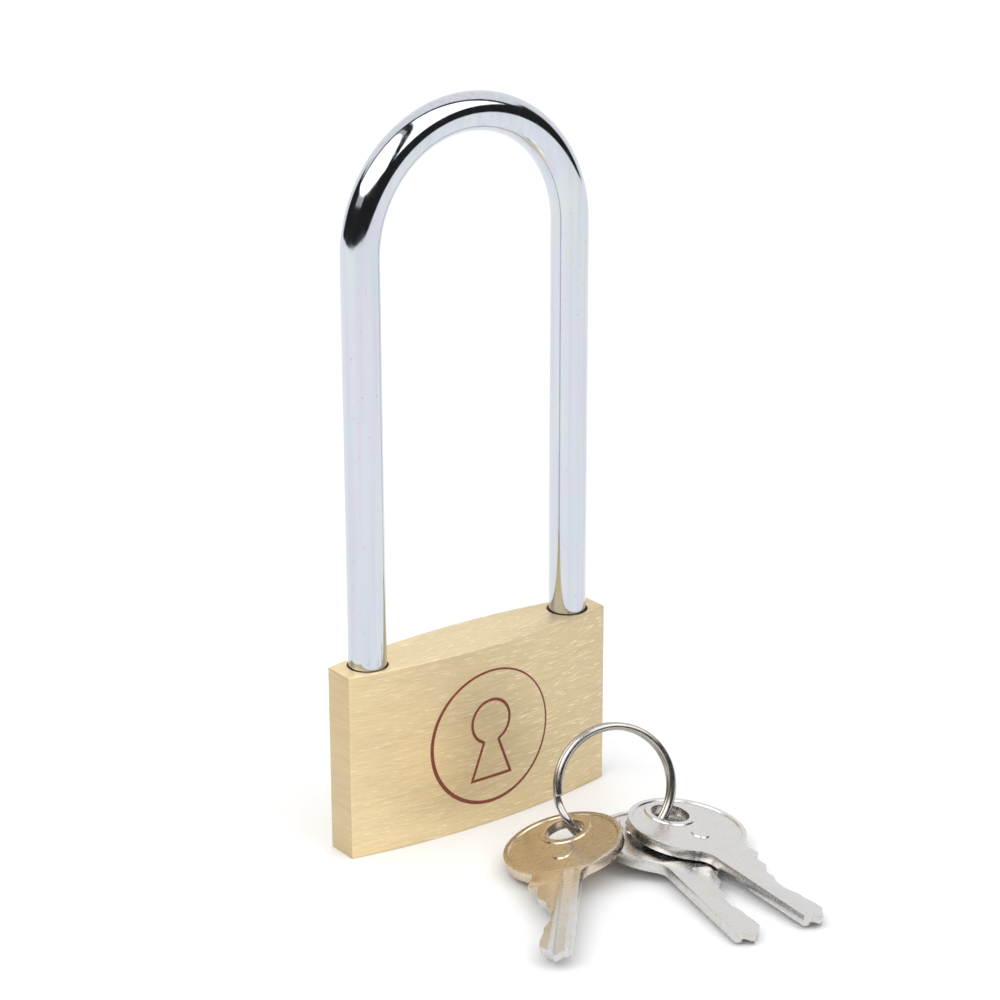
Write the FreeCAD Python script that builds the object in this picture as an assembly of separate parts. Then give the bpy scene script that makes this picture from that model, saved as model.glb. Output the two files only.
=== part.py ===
import FreeCAD, Part
import math
import os

# Brass padlock with a long shackle, and its three keys on a split ring.
#
# Frame: millimetres. X runs along the case from the heel leg (-X) to the toe leg (+X), Y from
# the marked front face (-Y) to the back, Z up. The origin is the centre of the case's bottom
# face, where the keyway is. The lock stands closed, with its plug turned and its bolt drawn,
# so that the shackle is free to rise.

Vec = FreeCAD.Vector
Rotation = FreeCAD.Rotation
X, Y, Z = Vec(1, 0, 0), Vec(0, 1, 0), Vec(0, 0, 1)
ORIGIN = Vec(0, 0, 0)
TINY = 1e-6
OVERCUT = 1.0                  # of every cutting shape past what it cuts

# ---- Shackle ---------------------------------------------------------------------------------
SHACKLE_DIAMETER = 6.0
SHACKLE_CLEARANCE = 80.7       # from the case's top face to the inside of the bow
SHACKLE_LIFT = 12.5            # travel from shut to fully raised
LEG_TO_CASE_END = 5.5          # leg axis to the nearer narrow end of the case
LEG_END_CHAMFER = 0.7
HEEL_FOOT_LENGTH = 2.65        # full-size foot below the heel leg's groove
HEEL_FLAT_DEPTH = 1.0          # flat along the heel leg, and groove round it at the foot
HEEL_GROOVE_HEIGHT = 1.8
TOE_END_BELOW_NOTCH = 1.6      # solid end of the toe leg under the bolt's notch
NOTCH_DEPTH = 2.15
NOTCH_CLEARANCE = 0.3          # above and below the bolt

# ---- Case ------------------------------------------------------------------------------------
CASE_WIDTH = 50.0              # over the two narrow ends
CASE_HEIGHT = 30.5
CASE_CROWN = 1.6               # how far each broad face bulges from the legs to the middle
CASE_LEG_WALL = 0.5            # metal beside the toe leg's hole, to either broad face
CASE_EDGE = 0.2                # chamfer round the top and bottom faces
HEEL_HOLE_CLEARANCE = 0.25     # radial
TOE_HOLE_CLEARANCE = 0.35      # radial
TOE_HOLE_FLOOR_GAP = 0.4       # under the toe leg's end
HEEL_HOLE_FLOOR = 2.0          # metal under the heel leg's hole

# ---- Plug and pin stacks ---------------------------------------------------------------------
PLUG_DIAMETER = 8.6
PLUG_CLEARANCE = 0.05          # radial, in its bore
PLUG_RECESS = 0.25             # of the plug's face inside the case's bottom face
PLUG_HEAD = 1.7                # of the plug above the end of its keyway
PLUG_TO_BOLT_GAP = 0.3
KEYWAY_WALL = 0.75             # of the plug behind the key's spine
KEYWAY_CLEARANCE = 0.1
PIN_COUNT = 5
PIN_DIAMETER = 2.0
PIN_CLEARANCE = 0.05           # radial, in its chamber
PIN_FIRST_HEIGHT = 2.4         # of the lowest chamber's axis above the bottom face
PIN_TO_TOE_HOLE = 2.1          # metal between the top chamber and the toe hole's floor
PIN_CONE = 0.35                # height of each key pin's pointed end
SHEAR_GAP = 0.04               # between each pin and the surface of the plug or its bore
KEY_PIN_LENGTHS = (1.35, 3.0, 4.15, 3.2, 2.8)
DRIVER_PIN_LENGTH = 4.0
PIN_SPRING_WIRE = 0.25
PIN_SPRING_DIAMETER = 1.75
PIN_SPRING_PITCH = 1.15
CHAMBER_PLUG_LENGTH = 4.0

# ---- Bolt ------------------------------------------------------------------------------------
BOLT_DIAMETER = 4.6
BOLT_CLEARANCE = 0.06          # radial, in its bore
BOLT_COVER = 3.8               # metal above the bolt's bore
BOLT_BACK = 5.0                # from the plug's axis to the bolt's back end, drawn
BOLT_NOSE_GAP = 0.2            # between the drawn bolt and the toe leg's hole
BOLT_NOSE_CHAMFER = 0.4
BOLT_SPRING_LENGTH = 5.5       # with the bolt drawn
BOLT_SPRING_DIAMETER = 3.7
BOLT_SPRING_WIRE = 0.45
BOLT_SPRING_PITCH = 0.85
BOLT_BORE_PLUG_GAP = 0.1       # between the bore plug and the toe leg's hole
TAIL_OFFSET = 1.8              # of the tail pin from the plug's axis
TAIL_DIAMETER = 2.0
TAIL_SLOT_CLEARANCE = 0.16     # each side of the tail pin, in the bolt's slot
TAIL_REACH = 3.1               # of the tail pin into the bolt's slot
TAIL_TOP_GAP = 0.25

# ---- Pins that hold the shackle and the plug, and the shackle's spring ------------------------
RETAINER_DIAMETER = 1.4
RETAINER_GAP = 0.05            # between a retaining pin and the flat or groove beside it
RETAINER_FRONT_WALL = 1.6      # metal left in front of a retaining pin
PLUG_GROOVE_DEPTH = 0.7
PLUG_GROOVE_BELOW = 0.3        # of the plug's groove below the end of its keyway
SHACKLE_SPRING_WIRE = 0.6
SHACKLE_SPRING_DIAMETER = 5.2
SHACKLE_SPRING_PITCH = 0.8
SHACKLE_SPRING_LENGTH = 4.6    # shut

# ---- Mark on the front face: a ring round a keyhole ------------------------------------------
MARK_TO_TOP = 4.0              # from the ring to the case's top face
MARK_TO_BOTTOM = 3.6
MARK_ACROSS = 0.13             # of the ring's centre from the case's
MARK_THICKEST = 0.66           # the ring's line swells towards its lower left
MARK_THINNEST = 0.3
MARK_SWELL_TOWARDS = 215.0     # degrees round the ring, from +X
MARK_LINE = 0.5                # of the keyhole
MARK_DEPTH = 0.22
MARK_PAINT_BELOW_FACE = 0.06
KEYHOLE_EYE = 0.34             # the keyhole, as shares of the ring's radius: eye's radius
KEYHOLE_EYE_HEIGHT = 0.23      # of the eye's centre above the ring's centre
KEYHOLE_FOOT_HEIGHT = -0.63
KEYHOLE_FOOT = 0.36            # half of the foot's width
KEYHOLE_NECK = 0.15            # half of the width where the skirt leaves the eye

# ---- Keys ------------------------------------------------------------------------------------
KEY_THICKNESS = 1.6
KEY_HEAD_DIAMETER = 18.8
KEY_HOLE_DIAMETER = 6.1
KEY_HOLE_OFFSET = 4.2          # from the head's centre, away from the blade
KEY_RIM = 0.85                 # width of the raised rim round the head
KEY_COLLAR = 1.1               # width of the raised collar round the hole
KEY_FIELD_DEPTH = 0.2
KEY_FIELD_END = 7.9            # where the sunk field stops, towards the blade
KEY_BOSS_AT = 3.2              # plain round boss between the hole and the blade
KEY_BOSS_RADIUS = 1.3
KEY_EDGE = 0.14
KEY_NECK_RADIUS = 2.5
KEY_SHOULDER_AT = 12.0         # shoulder that stops against the lock
KEY_SHOULDER_WIDTH = 4.6       # of the neck on its cut side, at the shoulder
KEY_SHOULDER_CORNERS = ((5.0, 0.3), (2.6, 0.45), (0.4, 0.0), (0.0, 0.4))   # back, and in
KEY_TIP_CORNERS = ((1.1, 3.6), (0.1, 2.8), (0.0, 2.3), (0.9, 1.5), (0.9, 0.4), (1.3, 0.0))
KEY_TIP_PAST_PINS = 3.3
KEY_CUT_FLAT = 0.7             # half of the flat bottom of each cut
KEY_GROOVE_FROM = 0.7          # grooves run along the blade; these are across it
KEY_GROOVE_TO = 2.4
KEY_GROOVE_DEPTH = 0.5
KEY_GROOVE_START = 8.6
KEY_GROOVE_RUNOUT = 2.2
KEY_STEP_DEPTH = 0.16          # thinner half on the cut side
KEY_STEP_START = 10.6
KEY_STEP_RUNOUT = 1.0
KEY_STEP_EDGE = -0.2

# ---- Split ring ------------------------------------------------------------------------------
RING_DIAMETER = 20.1           # outside
RING_WIRE_WIDTH = 1.25         # across the ring's radius
RING_WIRE_DEPTH = 0.95         # along the ring's axis
RING_TURN_GAP = 0.06
RING_JOG_ANGLE = 22.0          # over which the wire crosses from one turn to the other
RING_END_GAP = 4.0             # degrees between a wire end and the jog

# ---- Where the keys and ring lie: centre on the upper face, then turn, dip and tilt -----------
KEY_PLACES = {
    "key_1": {"centre": Vec(-1.25, -25.6, 4.8), "turn": -131.9, "dip": 3.1, "tilt": 12.8,
              "grooved_side_up": True},
    "key_2": {"centre": Vec(13.8, -30.45, 3.16), "turn": -101.9, "dip": 2.4, "tilt": -6.8,
              "grooved_side_up": False},
    "key_3": {"centre": Vec(18.75, -31.7, 4.42), "turn": -89.9, "dip": 4.6, "tilt": -7.9,
              "grooved_side_up": False},
}
RING_CENTRE = Vec(11.2, -22.9, 9.74)
RING_FACING = -18.3            # heading of the ring's axis, from -Y
RING_LEAN = 19.8               # of the ring back from upright
RING_JOG_AT = 196.0            # where the jog lies round the ring
JOG_STATIONS = 6               # lofted sections along the jog

# ---- Derived sizes ---------------------------------------------------------------------------
LEG_X = CASE_WIDTH / 2 - LEG_TO_CASE_END
LEG_RADIUS = SHACKLE_DIAMETER / 2
HEEL_HOLE_RADIUS = LEG_RADIUS + HEEL_HOLE_CLEARANCE
TOE_HOLE_RADIUS = LEG_RADIUS + TOE_HOLE_CLEARANCE
HALF_AT_LEG = TOE_HOLE_RADIUS + CASE_LEG_WALL
HALF_AT_MIDDLE = HALF_AT_LEG + CASE_CROWN
FACE_RADIUS = (LEG_X**2 + CASE_CROWN**2) / (2 * CASE_CROWN)
BOW_CENTRE_Z = CASE_HEIGHT + SHACKLE_CLEARANCE - (LEG_X - LEG_RADIUS)

BOLT_RADIUS = BOLT_DIAMETER / 2
BOLT_BORE_RADIUS = BOLT_RADIUS + BOLT_CLEARANCE
BOLT_Z = CASE_HEIGHT - BOLT_COVER - BOLT_BORE_RADIUS
BOLT_THROW = math.sqrt(2) * TAIL_OFFSET
BOLT_NOSE_X = LEG_X - TOE_HOLE_RADIUS - BOLT_NOSE_GAP
BOLT_BORE_END_X = -BOLT_BACK - BOLT_SPRING_LENGTH
NOTCH_HALF = BOLT_RADIUS + NOTCH_CLEARANCE
TOE_END_Z = BOLT_Z - NOTCH_HALF - TOE_END_BELOW_NOTCH
TOE_HOLE_FLOOR_Z = TOE_END_Z - TOE_HOLE_FLOOR_GAP

PLUG_RADIUS = PLUG_DIAMETER / 2
PLUG_BORE_RADIUS = PLUG_RADIUS + PLUG_CLEARANCE
PLUG_TOP_Z = BOLT_Z - BOLT_BORE_RADIUS - PLUG_TO_BOLT_GAP
KEYWAY_END_Z = PLUG_TOP_Z - PLUG_HEAD
CHAMBER_RADIUS = PIN_DIAMETER / 2 + PIN_CLEARANCE
PIN_LAST_HEIGHT = TOE_HOLE_FLOOR_Z - PIN_TO_TOE_HOLE - CHAMBER_RADIUS
PIN_PITCH = (PIN_LAST_HEIGHT - PIN_FIRST_HEIGHT) / (PIN_COUNT - 1)
PIN_HEIGHTS = [PIN_FIRST_HEIGHT + PIN_PITCH * i for i in range(PIN_COUNT)]
KEY_SPINE = PLUG_RADIUS - KEYWAY_WALL - KEYWAY_CLEARANCE
CUT_HEIGHTS = [PLUG_RADIUS - length for length in KEY_PIN_LENGTHS]
PLUG_TURNED = 90.0             # from the position in which a key goes in

RETAINER_RADIUS = RETAINER_DIAMETER / 2
RING_RADIUS = (RING_DIAMETER - RING_WIRE_WIDTH) / 2
RETAINER_REACH = RETAINER_RADIUS + RETAINER_GAP
HEEL_END_Z = HEEL_HOLE_FLOOR + SHACKLE_SPRING_LENGTH
HEEL_GROOVE_Z = HEEL_END_Z + HEEL_FOOT_LENGTH
HEEL_FLAT_TOP_Z = HEEL_GROOVE_Z + SHACKLE_LIFT + 2 * RETAINER_REACH
HEEL_FLAT_X = -LEG_X + LEG_RADIUS - HEEL_FLAT_DEPTH
HEEL_PIN_Z = HEEL_FLAT_TOP_Z - RETAINER_REACH
HEEL_PIN_X = HEEL_FLAT_X + RETAINER_REACH
PLUG_GROOVE_RADIUS = PLUG_RADIUS - PLUG_GROOVE_DEPTH
PLUG_GROOVE_Z = KEYWAY_END_Z + RETAINER_REACH - PLUG_GROOVE_BELOW
PLUG_PIN_X = -PLUG_GROOVE_RADIUS - RETAINER_REACH

MARK_RADIUS = (CASE_HEIGHT - MARK_TO_TOP - MARK_TO_BOTTOM) / 2
MARK_CENTRE = Vec(MARK_ACROSS, 0, MARK_TO_BOTTOM + MARK_RADIUS)
KEY_TIP_X = KEY_SHOULDER_AT + PIN_HEIGHTS[-1] + KEY_TIP_PAST_PINS


# ---- Helpers -----------------------------------------------------------------------------------
def rod(radius, start, end):
    """A cylinder between the centres of its two ends."""
    return Part.makeCylinder(radius, (end - start).Length, start, end - start)


def block(low, high):
    """A box between its lowest and highest corners."""
    size = high - low
    return Part.makeBox(size.x, size.y, size.z, low)


def tube(outer, inner, start, end):
    return rod(outer, start, end).cut(rod(inner, start, end))


def polygon_prism(points, along):
    """A closed outline of points, pushed along a vector."""
    return Part.Face(Part.makePolygon(points + points[:1])).extrude(along)


def chamfered_rod(radius, chamfer, start, end):
    """A rod whose far end is chamfered."""
    axis = (end - start).normalize()
    shoulder = end - axis * chamfer
    nose = Part.makeCone(radius, radius - chamfer, chamfer, shoulder, axis)
    return rod(radius, start, shoulder).fuse(nose).removeSplitter()


def coil_spring(diameter, wire, pitch, start, end):
    """A round-wire spring that fills the length between its two ends."""
    length = (end - start).Length
    radius = (diameter - wire) / 2
    helix = Part.makeHelix(pitch, length - wire, radius)
    section = Part.Wire(Part.makeCircle(wire / 2, Vec(radius, 0, 0), Y))
    spring = Part.Solid(Part.Wire(helix).makePipeShell([section], True, True))
    spring.translate(Vec(0, 0, wire / 2))
    spring.Placement = FreeCAD.Placement(start, Rotation(Z, end - start)) * spring.Placement
    return spring


def turned(shape, degrees):
    """The shape turned about the plug's axis."""
    copy = shape.copy()
    copy.rotate(ORIGIN, Z, degrees)
    return copy


# ---- Case ----------------------------------------------------------------------------------------
def half_thickness(x):
    """Half of the case's thickness at a place along its width."""
    return HALF_AT_MIDDLE - FACE_RADIUS + math.sqrt(FACE_RADIUS**2 - x**2)


def case_blank(inset=0.0):
    """The drawn brass section, cut to height; inset moves both broad faces inwards."""
    end_x = CASE_WIDTH / 2
    end_y = half_thickness(end_x) - inset
    middle_y = HALF_AT_MIDDLE - inset
    front = Part.Arc(Vec(-end_x, -end_y, 0), Vec(0, -middle_y, 0), Vec(end_x, -end_y, 0))
    back = Part.Arc(Vec(end_x, end_y, 0), Vec(0, middle_y, 0), Vec(-end_x, end_y, 0))
    toe_end = Part.LineSegment(Vec(end_x, -end_y, 0), Vec(end_x, end_y, 0))
    heel_end = Part.LineSegment(Vec(-end_x, end_y, 0), Vec(-end_x, -end_y, 0))
    outline = Part.Wire([edge.toShape() for edge in (front, toe_end, back, heel_end)])
    return Part.Face(outline).extrude(Vec(0, 0, CASE_HEIGHT))


def keyhole_face():
    """A keyhole's outline in the XZ plane: a round eye over a flared skirt."""
    neck_height = KEYHOLE_EYE_HEIGHT - math.sqrt(KEYHOLE_EYE**2 - KEYHOLE_NECK**2)

    def point(across, up):
        return MARK_CENTRE + Vec(across, 0, up) * MARK_RADIUS

    left, right = point(-KEYHOLE_NECK, neck_height), point(KEYHOLE_NECK, neck_height)
    eye = Part.Arc(right, point(0, KEYHOLE_EYE_HEIGHT + KEYHOLE_EYE), left)
    corners = [left, point(-KEYHOLE_FOOT, KEYHOLE_FOOT_HEIGHT),
               point(KEYHOLE_FOOT, KEYHOLE_FOOT_HEIGHT), right]
    sides = [Part.LineSegment(a, b) for a, b in zip(corners, corners[1:])]
    return Part.Face(Part.Wire([edge.toShape() for edge in [eye] + sides]))


def mark_ring(depth):
    """A ring between two circles whose centres differ, so that its line swells on one side."""
    angle = math.radians(MARK_SWELL_TOWARDS)
    swell = Vec(math.cos(angle), 0, math.sin(angle)) * ((MARK_THICKEST - MARK_THINNEST) / 2)
    inner_radius = MARK_RADIUS - (MARK_THICKEST + MARK_THINNEST) / 2
    inner = rod(inner_radius, MARK_CENTRE - swell, MARK_CENTRE - swell + depth)
    return rod(MARK_RADIUS, MARK_CENTRE, MARK_CENTRE + depth).cut(inner)


def mark_prisms():
    """The mark's lines, pushed right through the front half of the case."""
    depth = Vec(0, -2 * HALF_AT_MIDDLE, 0)
    outer = keyhole_face()
    inner = outer.makeOffset2D(-MARK_LINE)
    return [mark_ring(depth), outer.extrude(depth).cut(inner.extrude(depth))]


def mark_layer(upper, lower):
    """The mark's lines between two depths below the front face."""
    skin = case_blank(upper).cut(case_blank(lower))
    return [prism.common(skin) for prism in mark_prisms()]


def chamber_bore(height):
    return rod(CHAMBER_RADIUS, Vec(0, 0, height), Vec(CASE_WIDTH / 2 + OVERCUT, 0, height))


def retaining_pin(x, z):
    """A pin driven in from the back face and dressed flush with it."""
    start = Vec(x, -half_thickness(x) + RETAINER_FRONT_WALL, z)
    pin = rod(RETAINER_RADIUS, start, Vec(x, HALF_AT_MIDDLE + OVERCUT, z))
    return pin.common(case_blank())


def make_case():
    blank = case_blank()
    case = blank.makeChamfer(CASE_EDGE, blank.Edges)
    top = CASE_HEIGHT + OVERCUT
    tail_pocket = TAIL_OFFSET + TAIL_DIAMETER / 2 + TAIL_TOP_GAP
    cuts = [
        rod(HEEL_HOLE_RADIUS, Vec(-LEG_X, 0, HEEL_HOLE_FLOOR), Vec(-LEG_X, 0, top)),
        rod(TOE_HOLE_RADIUS, Vec(LEG_X, 0, TOE_HOLE_FLOOR_Z), Vec(LEG_X, 0, top)),
        rod(PLUG_BORE_RADIUS, Z * -OVERCUT, Z * (PLUG_TOP_Z + PLUG_CLEARANCE)),
        rod(tail_pocket, ORIGIN,
            Z * (PLUG_TOP_Z + PLUG_TO_BOLT_GAP + TAIL_REACH + 2 * TAIL_TOP_GAP)),
        rod(BOLT_BORE_RADIUS, Vec(BOLT_BORE_END_X, 0, BOLT_Z),
            Vec(CASE_WIDTH / 2 + OVERCUT, 0, BOLT_Z)),
        retaining_pin(HEEL_PIN_X, HEEL_PIN_Z),
        retaining_pin(PLUG_PIN_X, PLUG_GROOVE_Z),
    ]
    cuts += [chamber_bore(height) for height in PIN_HEIGHTS]
    cuts += mark_layer(-OVERCUT, MARK_DEPTH)
    for cut in cuts:
        case = case.cut(cut)
    return case


# ---- Shackle -------------------------------------------------------------------------------------
def make_shackle():
    section = Part.Face(Part.Wire(Part.makeCircle(LEG_RADIUS, Vec(LEG_X, 0, BOW_CENTRE_Z), Z)))
    bow = section.revolve(Vec(0, 0, BOW_CENTRE_Z), Y, -180)
    heel = chamfered_rod(LEG_RADIUS, LEG_END_CHAMFER, Vec(-LEG_X, 0, BOW_CENTRE_Z),
                         Vec(-LEG_X, 0, HEEL_END_Z))
    toe = chamfered_rod(LEG_RADIUS, LEG_END_CHAMFER, Vec(LEG_X, 0, BOW_CENTRE_Z),
                        Vec(LEG_X, 0, TOE_END_Z))
    shackle = bow.fuse([heel, toe]).removeSplitter()
    outside = LEG_RADIUS + OVERCUT
    flat = block(Vec(HEEL_FLAT_X, -outside, HEEL_GROOVE_Z),
                 Vec(-LEG_X + outside, outside, HEEL_FLAT_TOP_Z))
    groove = tube(outside, LEG_RADIUS - HEEL_FLAT_DEPTH, Vec(-LEG_X, 0, HEEL_GROOVE_Z),
                  Vec(-LEG_X, 0, HEEL_GROOVE_Z + HEEL_GROOVE_HEIGHT))
    notch = block(Vec(LEG_X - outside, -outside, BOLT_Z - NOTCH_HALF),
                  Vec(LEG_X - LEG_RADIUS + NOTCH_DEPTH, outside, BOLT_Z + NOTCH_HALF))
    return shackle.cut([flat, groove, notch])


# ---- Plug, pins and bolt ---------------------------------------------------------------------------
def make_plug():
    """Built as a key goes in, with its chambers towards the toe leg, then turned."""
    half_slot = KEY_THICKNESS / 2 + KEYWAY_CLEARANCE
    slot_back = -(PLUG_RADIUS - KEYWAY_WALL)
    slot_front = CUT_HEIGHTS[0] + KEYWAY_CLEARANCE
    plug = rod(PLUG_RADIUS, Vec(0, 0, PLUG_RECESS), Vec(0, 0, PLUG_TOP_Z))
    slot = block(Vec(slot_back, -half_slot, 0), Vec(slot_front, half_slot, KEYWAY_END_Z))
    ward_low = -KEY_GROOVE_TO + KEYWAY_CLEARANCE
    ward_high = -KEY_GROOVE_FROM - KEYWAY_CLEARANCE
    ward_tip = KEY_GROOVE_DEPTH - KEY_THICKNESS / 2 - KEYWAY_CLEARANCE
    ward = block(Vec(ward_low, -half_slot, 0), Vec(ward_high, ward_tip, KEYWAY_END_Z))
    plug = plug.cut(slot.cut(ward))
    chamber_foot = min(CUT_HEIGHTS) - PIN_CONE
    for height in PIN_HEIGHTS:
        plug = plug.cut(rod(CHAMBER_RADIUS, Vec(chamber_foot, 0, height),
                            Vec(PLUG_RADIUS + OVERCUT, 0, height)))
    groove = tube(PLUG_RADIUS + OVERCUT, PLUG_GROOVE_RADIUS, Z * (PLUG_GROOVE_Z - RETAINER_REACH),
                  Z * (PLUG_GROOVE_Z + RETAINER_REACH))
    tail_at = TAIL_OFFSET / math.sqrt(2)
    tail_foot = Vec(tail_at, tail_at, PLUG_TOP_Z)
    tail = rod(TAIL_DIAMETER / 2, tail_foot, tail_foot + Z * (PLUG_TO_BOLT_GAP + TAIL_REACH))
    return turned(plug.cut(groove).fuse(tail).removeSplitter(), PLUG_TURNED)


def make_key_pin(index):
    radius = PIN_DIAMETER / 2
    height = PIN_HEIGHTS[index]
    tip = Vec(CUT_HEIGHTS[index], 0, height)
    cone = Part.makeCone(radius / 2, radius, PIN_CONE, tip, X)
    shear_end = math.sqrt(PLUG_RADIUS**2 - radius**2) - SHEAR_GAP
    body = rod(radius, tip + X * PIN_CONE, Vec(shear_end, 0, height))
    return turned(cone.fuse(body).removeSplitter(), PLUG_TURNED)


def driver_start():
    return PLUG_BORE_RADIUS + SHEAR_GAP


def make_driver_pin(height):
    start = driver_start()
    return rod(PIN_DIAMETER / 2, Vec(start, 0, height), Vec(start + DRIVER_PIN_LENGTH, 0, height))


def make_pin_spring(height):
    start = driver_start() + DRIVER_PIN_LENGTH
    end = CASE_WIDTH / 2 - CHAMBER_PLUG_LENGTH
    return coil_spring(PIN_SPRING_DIAMETER, PIN_SPRING_WIRE, PIN_SPRING_PITCH,
                       Vec(start, 0, height), Vec(end, 0, height))


def make_chamber_plug(height):
    end = CASE_WIDTH / 2
    return rod(CHAMBER_RADIUS, Vec(end - CHAMBER_PLUG_LENGTH, 0, height), Vec(end, 0, height))


def make_bolt():
    bolt = chamfered_rod(BOLT_RADIUS, BOLT_NOSE_CHAMFER, Vec(-BOLT_BACK, 0, BOLT_Z),
                         Vec(BOLT_NOSE_X, 0, BOLT_Z))
    tail_x = -TAIL_OFFSET / math.sqrt(2)
    half_slot = TAIL_DIAMETER / 2 + TAIL_SLOT_CLEARANCE
    slot_top = PLUG_TOP_Z + PLUG_TO_BOLT_GAP + TAIL_REACH + TAIL_TOP_GAP
    slot = block(Vec(tail_x - half_slot, -BOLT_DIAMETER, PLUG_TOP_Z),
                 Vec(tail_x + half_slot, BOLT_DIAMETER, slot_top))
    return bolt.cut(slot)


def make_bolt_spring():
    return coil_spring(BOLT_SPRING_DIAMETER, BOLT_SPRING_WIRE, BOLT_SPRING_PITCH,
                       Vec(BOLT_BORE_END_X, 0, BOLT_Z), Vec(-BOLT_BACK, 0, BOLT_Z))


def make_bolt_bore_plug():
    start = LEG_X + TOE_HOLE_RADIUS + BOLT_BORE_PLUG_GAP
    return rod(BOLT_BORE_RADIUS, Vec(start, 0, BOLT_Z), Vec(CASE_WIDTH / 2, 0, BOLT_Z))


def make_shackle_spring():
    return coil_spring(SHACKLE_SPRING_DIAMETER, SHACKLE_SPRING_WIRE, SHACKLE_SPRING_PITCH,
                       Vec(-LEG_X, 0, HEEL_HOLE_FLOOR), Vec(-LEG_X, 0, HEEL_END_Z))


# ---- Keys ------------------------------------------------------------------------------------------
def blade_outline():
    """Corners of the blade, from the shoulder along the cuts, round the tip, to the spine."""
    low = -KEY_SHOULDER_WIDTH
    corners = [(KEY_SHOULDER_AT - back, low + rise) for back, rise in KEY_SHOULDER_CORNERS]
    corners.append((KEY_SHOULDER_AT, -CUT_HEIGHTS[0]))
    for height, cut in zip(PIN_HEIGHTS, CUT_HEIGHTS):
        along = KEY_SHOULDER_AT + height
        if height > PIN_HEIGHTS[0]:
            corners.append((along - KEY_CUT_FLAT, -cut))
        corners.append((along + KEY_CUT_FLAT, -cut))
    corners += [(KEY_TIP_X - back, KEY_SPINE - below) for back, below in KEY_TIP_CORNERS]
    return corners


def make_key_blank():
    """A key lying flat: head centred on the origin, blade along +X, grooved face up."""
    half = KEY_THICKNESS / 2
    head_radius = KEY_HEAD_DIAMETER / 2
    neck_x = math.sqrt((head_radius + KEY_NECK_RADIUS)**2 - (KEY_SPINE + KEY_NECK_RADIUS)**2)
    head = rod(head_radius, Vec(0, 0, -half), Vec(0, 0, half))
    blade = [Vec(x, y, -half) for x, y in blade_outline()]
    blade += [Vec(neck_x, KEY_SPINE, -half), Vec(0, KEY_SPINE, -half),
              Vec(0, -KEY_SHOULDER_WIDTH, -half)]
    neck = polygon_prism([Vec(0, 0, -half), Vec(neck_x, KEY_SPINE, -half),
                          Vec(neck_x, KEY_SPINE + KEY_NECK_RADIUS, -half)], Z * KEY_THICKNESS)
    hollow_at = Vec(neck_x, KEY_SPINE + KEY_NECK_RADIUS, -half)
    hollow = rod(KEY_NECK_RADIUS, hollow_at, hollow_at + Z * KEY_THICKNESS)
    key = head.fuse([polygon_prism(blade, Z * KEY_THICKNESS), neck]).cut(hollow)
    key = key.removeSplitter()
    flat_faces = [face for face in key.Faces if abs(abs(face.CenterOfMass.z) - half) < TINY]
    rims = [edge for face in flat_faces for edge in face.Edges]
    key = key.makeChamfer(KEY_EDGE, rims)
    hole_at = Vec(-KEY_HOLE_OFFSET, 0, -half)
    return key.cut(rod(KEY_HOLE_DIAMETER / 2, hole_at, hole_at + Z * KEY_THICKNESS))


def key_field(level):
    """The sunk field of the head: inside the rim, clear of the collar and the boss."""
    height = Z * (2 * KEY_FIELD_DEPTH)
    start = Z * (level - KEY_FIELD_DEPTH)
    far = KEY_HEAD_DIAMETER
    field = rod(KEY_HEAD_DIAMETER / 2 - KEY_RIM, start, start + height)
    field = field.cut(block(Vec(KEY_FIELD_END, -far, level - OVERCUT),
                            Vec(far, far, level + OVERCUT)))
    collar_at = start - X * KEY_HOLE_OFFSET
    field = field.cut(rod(KEY_HOLE_DIAMETER / 2 + KEY_COLLAR, collar_at, collar_at + height))
    boss_at = start + X * KEY_BOSS_AT
    return field.cut(rod(KEY_BOSS_RADIUS, boss_at, boss_at + height))


def runout_groove(low_y, high_y, start, runout, depth, side):
    """A groove along the blade whose floor climbs out to the surface near the head."""
    surface = side * KEY_THICKNESS / 2
    floor = surface - side * depth
    above = surface + side * OVERCUT
    end = KEY_TIP_X + OVERCUT
    outline = [Vec(start, low_y, surface), Vec(start + runout, low_y, floor),
               Vec(end, low_y, floor), Vec(end, low_y, above), Vec(start, low_y, above)]
    return polygon_prism(outline, Y * (high_y - low_y))


def make_key():
    key = make_key_blank()
    half = KEY_THICKNESS / 2
    key = key.cut([key_field(half), key_field(-half)])
    key = key.cut(runout_groove(KEY_GROOVE_FROM, KEY_GROOVE_TO, KEY_GROOVE_START,
                                KEY_GROOVE_RUNOUT, KEY_GROOVE_DEPTH, 1))
    for side in (1, -1):
        key = key.cut(runout_groove(-KEY_HEAD_DIAMETER, KEY_STEP_EDGE, KEY_STEP_START,
                                    KEY_STEP_RUNOUT, KEY_STEP_DEPTH, side))
    return key


def place_key(key, place):
    """Lay a key down: the place's centre is on the face that ends up on top."""
    rotation = Rotation(place["turn"], place["dip"], place["tilt"])
    middle = place["centre"] - rotation.multVec(Z) * (KEY_THICKNESS / 2)
    if not place["grooved_side_up"]:
        rotation = rotation * Rotation(X, 180)
    placed = key.copy()
    placed.Placement = FreeCAD.Placement(middle, rotation)
    return placed


# ---- Split ring --------------------------------------------------------------------------------------
def wire_section(level, angle):
    """The wire's flattened section at a level along the ring's axis and an angle round it."""
    centre = Vec(RING_RADIUS, 0, level)
    section = Part.Ellipse(centre, RING_WIRE_WIDTH / 2, RING_WIRE_DEPTH / 2).toShape()
    section.rotate(centre, X, 90)
    section.rotate(ORIGIN, Z, angle)
    return Part.Wire(section)


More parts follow.
